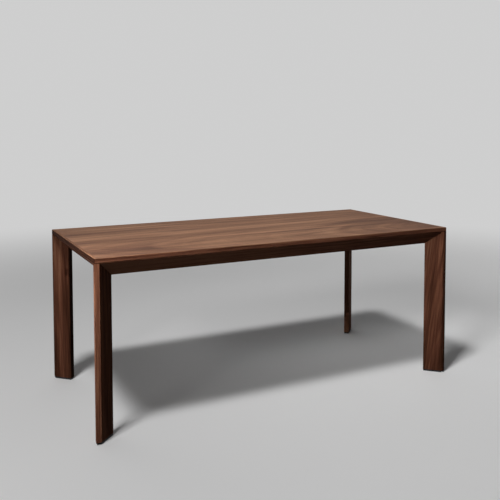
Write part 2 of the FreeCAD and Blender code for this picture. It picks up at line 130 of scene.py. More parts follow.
# The backdrop as it is seen, and the light it throws from the front and from the back. Then how
# far towards the back the light starts to grow, and is full.
PALE = 0.62
FILL_FRONT = 0.05
FILL_BACK = 0.70
FILL_GROWTH = (0.4, 0.95)

# The floor: how pale it is seen, how pale it is to light that bounces, its size, where it fades
# into the backdrop, and how far it lies below the feet.
FLOOR_SEEN = 0.90
FLOOR_BOUNCE = 0.13
FLOOR_RADIUS = 16.0
FLOOR_VERTICES = 96
FLOOR_FADE = (2.0, 6.0)
FLOOR_DROP = 0.0002


# ---- shader nodes ----

# Where a Mix node keeps its two inputs and its output, for numbers and for colours.
MIX_SOCKETS = {"FLOAT": (2, 3, 0), "RGBA": (6, 7, 2)}
NOISE_ROUGHNESS = 0.55
# Random tones run from 0 to 1, about this one.
MIDDLE_TONE = 0.5


def rgb(red, green, blue):
    """A colour written as 0 to 255, as the linear colour that a shader wants."""
    def linear(level):
        share = level / 255
        return share / 12.92 if share <= 0.04045 else ((share + 0.055) / 1.055) ** 2.4
    return (linear(red), linear(green), linear(blue), 1.0)


def connect(tree, source, socket):
    """Give a socket another node's output, or a plain value."""
    if isinstance(source, bpy.types.NodeSocket):
        tree.links.new(source, socket)
    else:
        socket.default_value = source


def add(tree, kind, settings=None, **inputs):
    """A shader node with its settings and its inputs, named with _ for a space."""
    node = tree.nodes.new("ShaderNode" + kind)
    for name, value in (settings or {}).items():
        setattr(node, name, value)
    for name, source in inputs.items():
        connect(tree, source, node.inputs[name.replace("_", " ")])
    return node


def calculate(tree, operation, *sources, kind="Math"):
    """The result of one operation on numbers."""
    node = add(tree, kind, {"operation": operation})
    for source, socket in zip(sources, node.inputs):
        connect(tree, source, socket)
    return node.outputs[0]


def calculate_vector(tree, operation, *sources):
    """The result of one operation on vectors."""
    return calculate(tree, operation, *sources, kind="VectorMath")


def table_place(tree):
    """Where a point lies, in the table's own metres."""
    return add(tree, "TexCoord").outputs["Object"]


def split(tree, vector):
    """A vector's X, Y and Z."""
    return add(tree, "SeparateXYZ", Vector=vector).outputs


def noise(tree, vector, cycles, detail):
    """Smooth random tone, from 0 to 1, with so many cycles to the metre each way."""
    scaled = calculate_vector(tree, "MULTIPLY", vector, cycles)
    node = add(
        tree, "TexNoise", Vector=scaled, Scale=1.0, Detail=detail, Roughness=NOISE_ROUGHNESS)
    return node.outputs["Fac"]


def centred(tree, value, reach):
    """A random tone from 0 to 1, as a distance either way from zero."""
    return calculate(tree, "MULTIPLY", calculate(tree, "SUBTRACT", value, MIDDLE_TONE), reach)


def ease(tree, value, start, end, low=0.0, high=1.0):
    """A smooth step from low to high as the value goes from start to end."""
    node = add(
        tree, "MapRange", {"interpolation_type": "SMOOTHSTEP"}, Value=value,
        From_Min=start, From_Max=end, To_Min=low, To_Max=high)
    return node.outputs["Result"]


def colours(tree, factor, stops):
    """A colour ramp from (place, colour) pairs."""
    node = add(tree, "ValToRGB", Fac=factor)
    ramp = node.color_ramp
    while len(ramp.elements) < len(stops):
        ramp.elements.new(MIDDLE_TONE)
    for element, (place, colour) in zip(ramp.elements, stops):
        element.position = place
        element.color = colour
    return node.outputs["Color"]


def mix(tree, kind, factor, first, second, blend="MIX"):
    """From the first towards the second number or colour, as far as the factor says."""
    node = add(tree, "Mix", {"data_type": kind, "blend_type": blend}, Factor=factor)
    first_input, second_input, result = MIX_SOCKETS[kind]
    connect(tree, first, node.inputs[first_input])
    connect(tree, second, node.inputs[second_input])
    return node.outputs[result]


def darken(tree, colour, factor, shade):
    """Multiply a colour by a shade, as far as the factor says."""
    return mix(tree, "RGBA", factor, colour, shade, "MULTIPLY")


def bump(tree, height, depth):
    """A fine relief, so many metres deep."""
    return add(tree, "Bump", Height=height, Distance=depth, Strength=1.0).outputs[0]


def finish_surface(tree, colour, roughness, normal, gloss, metallic=0.0):
    """A material's surface, with its gloss and its metal the same all over."""
    surface = add(
        tree, "BsdfPrincipled", Base_Color=colour, Roughness=roughness, Normal=normal,
        Specular_IOR_Level=gloss, Metallic=metallic)
    add(tree, "OutputMaterial", Surface=surface.outputs[0])


def new_material(name):
    """A material with an empty tree of shader nodes, and that tree."""
    material = bpy.data.materials.new(name)
    material.use_nodes = True
    material.node_tree.nodes.clear()
    return material, material.node_tree


# ---- wood ----

# A wood's bands: cycles to the metre along and across the grain, detail, share, and whether
# they follow the rings.
VENEER_LAYERS = (
    (0.45, 12, 3, 0.20, True),
    (0.8, 40, 3, 0.70, True),
    (1.4, 110, 2, 1.05, True),
    (0.8, 45, 2, 0.55, False),
    (1.6, 100, 2, 1.10, False),
    (3.5, 240, 2, 1.35, False),
)
BOARD_LAYERS = (
    (0.7, 14, 3, 0.25, True),
    (1.5, 44, 3, 0.80, True),
    (2.5, 120, 2, 1.05, True),
    (1.5, 50, 2, 0.60, False),
    (3, 110, 2, 1.10, False),
    (6, 260, 2, 1.20, False),
)
BEECH_LAYERS = (
    (0.8, 30, 2, 0.35, True),
    (1.6, 160, 2, 0.50, True),
    (5, 300, 2, 0.70, False),
)
VENEER_TONES = (
    (0.0, rgb(82, 57, 44)),
    (0.25, rgb(109, 76, 59)),
    (0.5, rgb(134, 97, 74)),
    (0.75, rgb(156, 116, 89)),
    (1.0, rgb(178, 135, 106)),
)
BOARD_TONES = (
    (0.0, rgb(44, 25, 17)),
    (0.25, rgb(69, 41, 29)),
    (0.5, rgb(91, 56, 42)),
    (0.75, rgb(112, 72, 54)),
    (1.0, rgb(134, 92, 70)),
)
BEECH_TONES = (
    (0.0, rgb(160, 118, 84)),
    (0.35, rgb(183, 141, 104)),
    (0.65, rgb(199, 159, 120)),
    (1.0, rgb(213, 177, 139)),
)

# Each wood: its bands, its tones, how strongly the bands show, and its gloss.
FACE_WOOD = (VENEER_LAYERS, VENEER_TONES, 0.83, 0.03)
BACKING_WOOD = (VENEER_LAYERS, VENEER_TONES, 0.7, 0.006)
BOARD_WOOD = (BOARD_LAYERS, BOARD_TONES, 0.7, 0.006)
APRON_WOOD = (BOARD_LAYERS, BOARD_TONES, 0.7, 0.008)
BEECH_WOOD = (BEECH_LAYERS, BEECH_TONES, 1.0, 0.3)

# Pores and flecks: their cycles to the metre and detail, how they open, their shade and depth.
WALNUT_PORES = ((75, 1500, 1500), 1, (0.60, 0.70), rgb(120, 105, 95), 0.00012)
BEECH_FLECKS = ((380, 2400, 1100), 1, (0.58, 0.70), rgb(185, 145, 125), 0.00006)
PORE_STRENGTH = 0.4

# A wood's sheen: its cycles to the metre and detail, how far its roughness varies, and from where.
WALNUT_SHEEN = ((3, 40, 40), 2, 0.12, 0.50)
BEECH_SHEEN = ((4, 60, 60), 2, 0.14, 0.36)

# How the grain drifts, and how the rings weave and ripple: cycles to the metre, and detail.
DRIFT = ((1.1, 2.5, 2.5), 3)
WEAVE = ((1.5, 0.2, 0.2), 1)
RIPPLE = ((4, 11, 11), 2)
RIPPLE_SHARE = 1 / 3

# A stretch of log: where it starts, how far its grain sways, its pith, and how far its rings
# wander. The pith is so far across, veers so much to the metre, is so far below, and sinks so
# much to the metre.
FACE_LOG = ((27, 4, 4), 0.02, (-0.285, -0.03, 0.14, -0.06), 0.02)
BACKING_LOG = ((3, 2, 0), 0.02, (0.15, -0.03, 0.2, 0.03), 0.02)
LIPPING_LOG = ((5, 0, 0), 0.02, (0.1, 0.0, 0.6, 0.0), 0.01)
APRON_LOG = ((15, 0, 0), 0.03, (0.05, 0.0, 0.3, 0.02), 0.02)
LEG_LOG = ((25, 0, 0), 0.02, (0.02, -0.05, 0.09, 0.03), 0.01)
CLEAT_LOG = ((0, 0, 0), 0.01, (0.02, 0.01, 0.08, 0.0), 0.01)
RAIL_LOG = ((17, 0, 0), 0.01, (0.02, 0.01, 0.08, 0.0), 0.01)
BLOCK_LOG = ((26, 0, 0), 0.01, (0.02, 0.01, 0.08, 0.0), 0.01)
# How far apart two boards of a kind are cut from their log.
WALNUT_STEP = 2
BEECH_STEP = 4

# How light or dark each solid board is, and how much lighter it grows in a metre of its length: the
# boards' own tone, with painted light and shade in it as noted at each table.
# The left lipping is darker than the others as painted shade.
LIPPING_TONE_AND_PAINTED_SHADE = {
    "front": (0.09, 0.03),
    "right": (0.0, 0.0),
    "back": (0.0, 0.0),
    "left": (-0.33, 0.24),
}
# The front apron is lighter than the others as painted light, and darker towards its right end as
# painted shade.
APRON_TONE_AND_PAINTED_LIGHT = {
    "front": (0.34, -0.33),
    "right": (0.1, 0.0),
    "back": (0.1, 0.0),
    "left": (0.1, 0.0),
}
# Three legs grow lighter towards their tops and darker towards the floor, as painted light. The
# back right leg is lighter all over as painted light, where the table's shadow falls on its inner
# end.
LEG_TONE_AND_PAINTED_LIGHT = {
    "front_left": (0.00, 0.10),
    "front_right": (-0.06, 0.47),
    "back_right": (0.22, 0.00),
    "back_left": (-0.12, 0.30),
}
BACKING_LIGHTNESS = (-0.12, 0.0)
# How each apron is tilted about its length and how far each leg's grain leans, in degrees.
APRON_TILTS = {"front": 45, "right": 45, "back": -45, "left": -45}
LEG_LEANS = {"front_left": 0, "front_right": 5, "back_right": 0, "back_left": 0}

# How far the fine dark line at a joint spreads, and its shade. Then how far down a lipping's crown
# takes the face veneer's lighter colour: over its top and round its rounded arris, the veneer's own
# colour carried over, and a painted highlight along the edge.
JOINT_REACH = 0.0016
JOINT_SHADE = rgb(105, 90, 80)
CROWN_AND_HIGHLIGHT_DEPTH = 0.0024
# The joint between the top and what carries it.
TOP_JOINT = (("Z", UNDERSIDE),)

# Streaks: distance across at the origin, slope, ends, half width and strength. Most are pigment,
# and some are painted light and shade, as given below. Those with a strength below zero are dark.
# They fade over this share of their length on either side of each end.
STREAK_FADE = 0.25
# On the top, the broad ones, 12 cm or more to each side, are painted shade: darker at the front
# left, where the lamps' light is strongest, and towards the right end.
TOP_STREAKS_AND_PAINTED_SHADE = (
    (0.225, -0.14, (-1.00, 0.05), 0.024, 0.14),
    (0.295, 0.00, (-0.35, 0.20), 0.022, -0.10),
    (0.190, 0.00, (-1.20, -0.45), 0.030, -0.22),
    (0.185, -0.02, (-0.20, 0.60), 0.030, -0.06),
    (0.066, 0.015, (-1.20, 1.10), 0.036, 0.18),
    (-0.045, -0.01, (-1.20, 1.30), 0.033, -0.14),
    (-0.055, 0.00, (0.35, 1.60), 0.045, -0.10),
    (-0.126, 0.01, (-0.60, 1.30), 0.012, 0.18),
    (-0.168, 0.00, (-1.10, -0.45), 0.030, 0.12),
    (-0.170, 0.00, (-0.35, 1.50), 0.016, -0.14),
    (-0.165, 0.18, (-0.65, -0.15), 0.012, -0.16),
    (-0.260, 0.04, (-1.20, -0.50), 0.035, -0.12),
    (-0.250, 0.09, (-0.50, 0.36), 0.028, 0.15),
    (-0.327, 0.27, (0.06, 0.46), 0.011, -0.26),
    (-0.280, 0.00, (0.22, 0.80), 0.030, 0.16),
    (-0.385, 0.00, (-1.20, 0.40), 0.018, 0.08),
    (-0.100, 0.00, (0.65, 1.80), 0.250, -0.18),
    (-0.300, 0.00, (-1.60, -0.45), 0.200, -0.26),
    (-0.330, 0.00, (0.45, 1.60), 0.120, -0.20),
    (-0.215, 0.05, (-0.72, -0.52), 0.030, 0.18),
)
LIPPING_STREAKS = {
    "front": (
        (-0.42, 0.0, (-0.70, -0.42), 0.05, 0.05),
        (-0.42, 0.0, (-0.36, -0.18), 0.05, -0.05),
        (-0.42, 0.0, (-0.10, 0.16), 0.05, 0.10),
        (-0.42, 0.0, (0.24, 0.50), 0.05, -0.07),
    ),
}
# On the legs, the broad ones, 3 cm or more to each side, lighten stretches of the front left and
# back left legs as painted light. Those along a leg's inner end, about 0.106 across, are painted
# light on the back right leg, in the table's shadow, and painted shade on the back left leg.
LEG_STREAKS_AND_PAINTED_LIGHT = {
    "front_left": (
        (0.0, 0.0, (0.50, 0.66), 0.03, 0.13),
        (0.0, 0.0, (-0.10, 0.12), 0.03, 0.07),
        (0.030, 0.0, (0.0, 0.8), 0.004, 0.10),
    ),
    "front_right": (
        (0.097, 0.0, (0.00, 0.52), 0.012, -0.22),
        (0.060, 0.0, (0.30, 0.75), 0.010, 0.10),
        (0.045, 0.02, (-0.1, 0.45), 0.014, 0.12),
        (0.0, 0.087, (-0.1, 0.9), 0.009, -0.36),
        (0.0, 0.087, (0.20, 0.9), 0.009, -0.40),
    ),
    "back_right": (
        (0.106, 0.0, (-0.1, 0.9), 0.008, 0.42),
        (0.106, 0.0, (-0.3, 0.5), 0.008, 0.20),
    ),
    "back_left": (
        (0.046, 0.0, (-0.1, 0.9), 0.009, 0.26),
        (0.074, -0.01, (-0.1, 0.9), 0.010, -0.08),
        (0.108, 0.0, (-0.1, 0.9), 0.009, -0.50),
        (0.05, 0.0, (0.54, 0.85), 0.05, 0.20),
        (0.080, 0.0, (0.35, 0.68), 0.004, -0.15),
        (0.038, 0.1, (0.525, 0.56), 0.006, -0.38),
        (0.05, 0.0, (-0.1, 0.10), 0.05, 0.06),
    ),
}


def grain_coordinates(tree, turn, origin, start, sway):
    """A board's own coordinates: X along its swaying grain from the origin, Y across, Z through.

    The second output lies in the board's own stretch of the log, so that no two boards match."""
    mapping = add(
        tree, "Mapping", Vector=table_place(tree), Location=-(turn @ Vector(origin)),
        Rotation=turn.to_euler())
    straight = mapping.outputs[0]
    in_log = calculate_vector(tree, "ADD", straight, start)
    drift = centred(tree, noise(tree, in_log, *DRIFT), sway)
    bend = add(tree, "CombineXYZ", Y=drift).outputs[0]
    board = calculate_vector(tree, "ADD", straight, bend)
    return board, calculate_vector(tree, "ADD", in_log, bend)


def ring_coordinates(tree, board, log, pith, wander):
    """X along the grain and Y out from the pith, which veers, sinks and weaves as it goes along."""
    across, veer, below, sink = pith
    place = split(tree, board)
    sideways = calculate(tree, "MULTIPLY_ADD", place["X"], veer, across)
    y = calculate(tree, "SUBTRACT", place["Y"], sideways)
    down = calculate(tree, "MULTIPLY_ADD", place["X"], sink, below)
    weave = centred(tree, noise(tree, log, *WEAVE), wander)
    z = calculate(tree, "ADD", calculate(tree, "ADD", place["Z"], down), weave)
    squares = [calculate(tree, "MULTIPLY", side, side) for side in (y, z)]
    out = calculate(tree, "SQRT", calculate(tree, "ADD", *squares))
    ripple = centred(tree, noise(tree, log, *RIPPLE), wander * RIPPLE_SHARE)
    along = split(tree, log)["X"]
    return add(tree, "CombineXYZ", X=along, Y=calculate(tree, "ADD", out, ripple)).outputs[0]


def wood_coordinates(tree, turn, origin, stretch):
    """A place in the board, in its stretch of the log, and among its rings."""
    start, sway, pith, wander = stretch
    board, log = grain_coordinates(tree, turn, origin, start, sway)
    return board, log, ring_coordinates(tree, board, log, pith, wander)


def figure(tree, rings, log, layers, strength):
    """The sum of a wood's bands, about the middle tone."""
    total = MIDDLE_TONE
    for along, across, detail, share, follows_rings in layers:
        if follows_rings:
            tone = noise(tree, rings, (along, across, 0), detail)
        else:
            tone = noise(tree, log, (along, across, across), detail)
        total = calculate(tree, "ADD", total, centred(tree, tone, share * strength))
    return total


def streak(tree, place, middle, slope, ends, half_width, strength):
    """One long soft band, lighter or darker, in the board's own metres: pigment, and on some boards
    painted light and shade.
    """
    start, end = ends
    fade = (end - start) * STREAK_FADE
    line = calculate(tree, "MULTIPLY_ADD", place["X"], -slope, place["Y"])
    off = calculate(tree, "DIVIDE", calculate(tree, "SUBTRACT", line, middle), half_width)
    ridge = calculate(tree, "DIVIDE", 1.0, calculate(tree, "MULTIPLY_ADD", off, off, 1.0))
    rise = ease(tree, place["X"], start - fade, start + fade)
    fall = ease(tree, place["X"], end - fade, end + fade, 1.0, 0.0)
    inside = calculate(tree, "MULTIPLY", rise, fall)
    return calculate(tree, "MULTIPLY", calculate(tree, "MULTIPLY", ridge, inside), strength)


def streaks_and_painted_light(tree, board, streaks):
    """A board's streaks, all together: its pigment, and the painted light and shade among them."""
    place = split(tree, board)
    total = 0.0
    for each in streaks:
        total = calculate(tree, "ADD", total, streak(tree, place, *each))
    return total


def near_level(tree, axis, level, reach):
    """1 on a level of one of the table's own axes, and 0 from the reach onwards."""
    place = split(tree, table_place(tree))
    gap = calculate(tree, "ABSOLUTE", calculate(tree, "SUBTRACT", place[axis], level))
    return ease(tree, gap, reach / 2, reach, 1.0, 0.0)


def line_mask(tree, lines, reach):
    """1 on fine lines: each a level of one axis, or an edge where levels of two axes meet."""
    total = 0.0
    for levels in lines:
        line = 1.0
        for axis, level in levels:
            line = calculate(tree, "MULTIPLY", line, near_level(tree, axis, level, reach))
        total = calculate(tree, "MAXIMUM", total, line)
    return total


def finish_wood(tree, log, colour, pores, sheen, gloss):
    """A wood's surface, with dark pores or flecks sunk in it and an uneven sheen."""
    pore_cycles, pore_detail, opening, shade, depth = pores
    sheen_cycles, sheen_detail, variation, least = sheen
    open_pores = ease(tree, noise(tree, log, pore_cycles, pore_detail), *opening)
    colour = darken(tree, colour, calculate(tree, "MULTIPLY", open_pores, PORE_STRENGTH), shade)
    normal = bump(tree, calculate(tree, "MULTIPLY", open_pores, -1.0), depth)
    cloud = noise(tree, log, sheen_cycles, sheen_detail)
    roughness = calculate(tree, "MULTIPLY_ADD", cloud, variation, least)
    finish_surface(tree, colour, roughness, normal, gloss)


def walnut(name, wood, turn, origin, stretch, tone_and_painted_light=(0.0, 0.0), streaks=(), joints=(),
           crowned_with_highlight=False):
    """Oiled walnut with streaks, growth rings, fibres and open pores; on some boards its tone and
    streaks also hold painted light and shade.
    """
    layers, tones, strength, gloss = wood
    level, painted_light_growth = tone_and_painted_light
    material, tree = new_material(name)
    board, log, rings = wood_coordinates(tree, turn, origin, stretch)
    bands = figure(tree, rings, log, layers, strength)
    # The board's own tone, with painted light and shade on some boards: lighter or darker along the
    # board as light falls there.
    tone_shift_and_painted_light = calculate(tree, "MULTIPLY_ADD", split(tree, board)["X"], painted_light_growth, level)
    shade = calculate(tree, "ADD", bands, tone_shift_and_painted_light)
    if streaks:
        shade = calculate(tree, "ADD", shade, streaks_and_painted_light(tree, board, streaks))
    colour = colours(tree, shade, tones)
    # The crown takes the veneer's lighter colour over the lipping's top and round its arris: the
    # veneer's own colour, and a painted highlight along the edge.
    if crowned_with_highlight:
        crown_and_highlight = near_level(tree, "Z", TABLE_HEIGHT, CROWN_AND_HIGHLIGHT_DEPTH)
        colour = mix(tree, "RGBA", crown_and_highlight, colour, colours(tree, bands, VENEER_TONES))
    if joints:
        colour = darken(tree, colour, line_mask(tree, joints, JOINT_REACH), JOINT_SHADE)
    finish_wood(tree, log, colour, WALNUT_PORES, WALNUT_SHEEN, gloss)
    return material


def beech(name, turn, origin, stretch):
    """Planed beech under clear lacquer: close faint rings and short dark flecks."""
    layers, tones, strength, gloss = BEECH_WOOD
    material, tree = new_material(name)
    _, log, rings = wood_coordinates(tree, turn, origin, stretch)
    colour = colours(tree, figure(tree, rings, log, layers, strength), tones)
    finish_wood(tree, log, colour, BEECH_FLECKS, BEECH_SHEEN, gloss)
    return material


# ---- panel core, steel and plastic ----

# Each random tone has so many cycles to the metre each way, and so much detail. A share says how
# far it changes the tone or the roughness, and a relief how deep it goes.
CORE_CLUMPS = ((120, 120, 300), 3)
CORE_CLUMPS_SHARE = 0.7
CORE_FIBRES = ((1300, 1300, 2600), 2)
CORE_FIBRES_SHARE = 1.0
CORE_TONES = ((0.0, rgb(112, 84, 56)), (0.5, rgb(150, 120, 86)), (1.0, rgb(184, 156, 120)))
CORE_ROUGHNESS = 0.85
CORE_ROUGHNESS_SHARE = 0.1
CORE_RELIEF = 0.0001
CORE_GLOSS = 0.2
# How far from its middle the core starts to grow denser, and how much darker its faces are.
CORE_DENSE_FROM = 0.004
CORE_DENSE_TONE = -0.18

ZINC_BLOOM = ((160, 160, 160), 3)
ZINC_BLOOM_SHARE = 0.20
ZINC_MARKS = ((900, 900, 5200), 2)
ZINC_MARKS_SHARE = 0.16
ZINC_TONES = ((0.25, rgb(188, 190, 189)), (0.5, rgb(204, 205, 203)), (0.75, rgb(212, 209, 200)))
ZINC_ROUGHNESS = 0.34
ZINC_RELIEF = 0.00001
ZINC_GLOSS = 0.5

PLASTIC_GRAIN = ((1500, 1500, 1500), 2)
PLASTIC_SCUFFS = ((60, 60, 200), 3)
PLASTIC_TONES = ((0.3, rgb(26, 26, 27)), (0.6, rgb(34, 34, 34)), (0.8, rgb(48, 47, 45)))
PLASTIC_ROUGHNESS = 0.48
PLASTIC_ROUGHNESS_SHARE = 0.2
PLASTIC_RELIEF = 0.00005
PLASTIC_GLOSS = 0.4


def fibreboard(name):
    """Bare fibreboard: pale fibres in a brown ground, denser and darker towards its faces."""
    material, tree = new_material(name)
    place = table_place(tree)
    middle = UNDERSIDE + TOP_THICKNESS / 2
    off = calculate(
        tree, "ABSOLUTE", calculate(tree, "SUBTRACT", split(tree, place)["Z"], middle))
    density = ease(tree, off, CORE_DENSE_FROM, TOP_THICKNESS / 2, 0.0, CORE_DENSE_TONE)
    clumps = centred(tree, noise(tree, place, *CORE_CLUMPS), CORE_CLUMPS_SHARE)
    fibres = centred(tree, noise(tree, place, *CORE_FIBRES), CORE_FIBRES_SHARE)
    shade = calculate(tree, "ADD", calculate(tree, "ADD", clumps, fibres), MIDDLE_TONE)
    colour = colours(tree, calculate(tree, "ADD", shade, density), CORE_TONES)
    roughness = calculate(tree, "MULTIPLY_ADD", fibres, CORE_ROUGHNESS_SHARE, CORE_ROUGHNESS)
    finish_surface(tree, colour, roughness, bump(tree, fibres, CORE_RELIEF), CORE_GLOSS)
    return material


def zinc_plate(name):
    """Bright zinc plate: a faint cloudy bloom over fine turning marks."""
    material, tree = new_material(name)
    place = table_place(tree)
    bloom = noise(tree, place, *ZINC_BLOOM)
    marks = noise(tree, place, *ZINC_MARKS)
    cloud = centred(tree, bloom, ZINC_BLOOM_SHARE)
    scratch = centred(tree, marks, ZINC_MARKS_SHARE)
    roughness = calculate(tree, "ADD", calculate(tree, "ADD", cloud, scratch), ZINC_ROUGHNESS)
    colour = colours(tree, bloom, ZINC_TONES)
    relief = bump(tree, marks, ZINC_RELIEF)
    finish_surface(tree, colour, roughness, relief, ZINC_GLOSS, metallic=1.0)
    return material


def pad_plastic(name):
    """Matt black moulded plastic with a fine spark-worn grain."""
    material, tree = new_material(name)
    place = table_place(tree)
    grain = noise(tree, place, *PLASTIC_GRAIN)
    scuffs = noise(tree, place, *PLASTIC_SCUFFS)
    colour = colours(tree, scuffs, PLASTIC_TONES)
    roughness = calculate(
        tree, "MULTIPLY_ADD", scuffs, PLASTIC_ROUGHNESS_SHARE, PLASTIC_ROUGHNESS)
    finish_surface(tree, colour, roughness, bump(tree, grain, PLASTIC_RELIEF), PLASTIC_GLOSS)
    return material


# ---- each piece gets its material ----

def turn_about(axis, degrees):
    """A turn about one of the table's axes."""
    return Matrix.Rotation(math.radians(degrees), 3, axis)


def side_turn(side):
    """The turn that lays a side's length along X."""
    return turn_about("Z", 0 if side in LONG_SIDES else -90)


def corner_point(corner):
    """Where a corner stands on the floor."""
    inwards = turn_about("Z", CORNERS[corner]) @ Vector((1, 0, 0))
    low, high = cad_box
    return (low[0] if inwards.x > 0 else high[0], low[1] if inwards.y > 0 else high[1], 0)


def further_on(log, distance):
    """A stretch of the same log, so many metres further on."""
    start, *rest = log
    return ((start[0] + distance, *start[1:]), *rest)


def dress(node, material):
    """Give a piece one material all over."""
    slots = NODES[node].data.materials
    slots.clear()
    slots.append(material)


def dress_top():
    """The face veneer and the backing veneer, each one sheet with its grain along the table."""
    flat = Matrix.Identity(3)
    middle = (0, 0, 0)
    dress("top_veneer", walnut(
        "walnut_face_veneer", FACE_WOOD, flat, middle, FACE_LOG, streaks=TOP_STREAKS_AND_PAINTED_SHADE))
    dress("backing_veneer", walnut(
        "walnut_backing_veneer", BACKING_WOOD, flat, middle, BACKING_LOG, BACKING_LIGHTNESS))


def lipping_lines(side):
    """A lipping's fine dark lines: the joint under it, and the mitres at its two ends."""
    low, high = cad_box
    faces = {
        "front": ("Y", low[1]),
        "right": ("X", high[0]),
        "back": ("Y", high[1]),
        "left": ("X", low[0]),
    }
    ends = ("left", "right") if side in LONG_SIDES else ("front", "back")
    return [TOP_JOINT] + [(faces[side], faces[end]) for end in ends]


def dress_lippings():
    """Each lipping with its grain along its side, and a crown that matches the veneer, lighter
    round its arris as a painted highlight.
    """
    for number, side in enumerate(SIDES):
        stretch = further_on(LIPPING_LOG, WALNUT_STEP * number)
        dress(f"lipping_{side}", walnut(
            f"walnut_lipping_{side}", BOARD_WOOD, side_turn(side), UNDER_TOP, stretch,
            LIPPING_TONE_AND_PAINTED_SHADE[side], LIPPING_STREAKS.get(side, ()), lipping_lines(side),
            crowned_with_highlight=True))


def dress_aprons():
    """Each apron with its grain along its side, tilted as its board is."""
    for number, side in enumerate(SIDES):
        turn = turn_about("X", APRON_TILTS[side]) @ side_turn(side)
        stretch = further_on(APRON_LOG, WALNUT_STEP * number)
        dress(f"apron_{side}", walnut(
            f"walnut_apron_{side}", APRON_WOOD, turn, UNDER_TOP, stretch,
            APRON_TONE_AND_PAINTED_LIGHT[side], joints=[TOP_JOINT]))


def dress_legs():
    """Grain up the leg, measured from the floor, and across it from the corner inwards."""
    for number, (corner, degrees) in enumerate(CORNERS.items()):
        upright = turn_about("X", 90) @ turn_about("Y", 90) @ turn_about("Z", -degrees)
        turn = turn_about("Z", LEG_LEANS[corner]) @ upright
        stretch = further_on(LEG_LOG, WALNUT_STEP * number)
        dress(f"leg_{corner}", walnut(
            f"walnut_leg_{corner}", BOARD_WOOD, turn, corner_point(corner), stretch,
            LEG_TONE_AND_PAINTED_LIGHT[corner], LEG_STREAKS_AND_PAINTED_LIGHT[corner], [TOP_JOINT]))


def dress_inside():
    """The core, and the beech timbers under the top, each with the grain along its length."""
    dress("top_core", fibreboard("fibreboard_core"))
    for number, side in enumerate(SIDES):
        stretch = further_on(CLEAT_LOG, BEECH_STEP * number)
        dress(f"cleat_{side}", beech(f"beech_cleat_{side}", side_turn(side), UNDER_TOP, stretch))
    for number, side in enumerate(("left", "right")):
        stretch = further_on(RAIL_LOG, BEECH_STEP * number)
        dress(f"cross_rail_{side}", beech(
            f"beech_rail_{side}", side_turn(side), UNDER_TOP, stretch))
    for number, (corner, degrees) in enumerate(CORNERS.items()):
        stretch = further_on(BLOCK_LOG, BEECH_STEP * number)
        dress(f"corner_block_{corner}", beech(
            f"beech_block_{corner}", turn_about("Z", 90 - degrees), corner_point(corner), stretch))


def dress_screws():
    """One zinc plate for all the screws."""
    steel = zinc_plate("zinc_screws")
    for screws in ("cleat_top", "cleat_apron", "block", "rail", "glide"):
        dress(f"{screws}_screws", steel)


# ---- leg bolts, washers, nuts and glide pads ----

def begin():
    """Leave nothing selected, so that an operator works on what comes next alone."""
    bpy.ops.object.select_all(action="DESELECT")


def settle():
    """Put an object's place into its mesh, and smooth it up to its sharp edges."""
    bpy.ops.object.transform_apply(location=True, rotation=True, scale=True)
    bpy.ops.object.shade_smooth_by_angle(angle=math.radians(SMOOTH_ANGLE))


def close_up():
    """Merge a mesh's seams in edit mode, turn its faces outwards, and leave edit mode."""
    bpy.ops.mesh.select_all(action="SELECT")
    bpy.ops.mesh.remove_doubles(threshold=SEAM)
    bpy.ops.mesh.normals_make_consistent(inside=False)
    bpy.ops.object.mode_set(mode="OBJECT")


def turned(name, profile, vertices=TURNED_VERTICES, hollow=False):
    """A piece turned about Z from its (height, radius) steps; a hollow one's steps go all round."""
    height, radius = profile[0]
    begin()
    bpy.ops.mesh.primitive_circle_add(
        vertices=vertices, radius=radius, fill_type="NOTHING" if hollow else "NGON",
        location=(0, 0, height))
    piece = bpy.context.object
    piece.name = name
    bpy.ops.object.mode_set(mode="EDIT")
    bpy.ops.mesh.select_all(action="SELECT")
    for next_height, next_radius in profile[1:] + (profile[:1] if hollow else []):
        bpy.ops.mesh.extrude_region_move(
            TRANSFORM_OT_translate={"value": (0, 0, next_height - height)})
        share = next_radius / radius
        bpy.ops.transform.resize(value=(share, share, 1))
        height, radius = next_height, next_radius
    close_up()
    settle()
    return piece


def both_faces(steps, thickness):
    """Steps from one face of a piece, carried on to the same steps from its other face."""
    return steps + [(thickness - height, radius) for height, radius in reversed(steps)]


def thread(start, end, pitch, root):
    """A bolt's thread as close rings: its roots and crests as (height, radius) steps."""
    steps = []
    for number in range(round((end - start) / pitch)):
        steps.append((start + number * pitch, root))
        steps.append((start + (number + 0.5) * pitch, BOLT_RADIUS))
    return steps + [(end, root)]


def make_hanger_bolt():
    """A coarse thread and a point for the leg, a plain shank, and a fine thread for the nut."""
    point = [(BOLT_TIP, BOLT_TIP_RADIUS), (BOLT_POINT_END, BOLT_END_RADIUS)]
    shank = [(height, BOLT_RADIUS) for height in BOLT_SHANK]
    end = [(BOLT_END, BOLT_END_RADIUS)]
    profile = point + thread(*COARSE_THREAD) + shank + thread(*FINE_THREAD) + end
    return turned("hanger_bolt", profile)


def make_washer():
    """A stamped ring with its rims rounded over."""
    profile = both_faces(WASHER_RIMS, WASHER_THICKNESS)
    return turned("leg_washer", profile, WASHER_VERTICES, hollow=True)


def cut(piece, cutter, operation):
    """Cut a piece with another, which is then thrown away."""
    begin()
    piece.select_set(True)
    bpy.context.view_layer.objects.active = piece
    bpy.ops.object.modifier_add(type="BOOLEAN")
    boolean = piece.modifiers[-1]
    boolean.operation = operation
    boolean.object = cutter
    bpy.ops.object.modifier_apply(modifier=boolean.name)
    bpy.data.objects.remove(cutter)


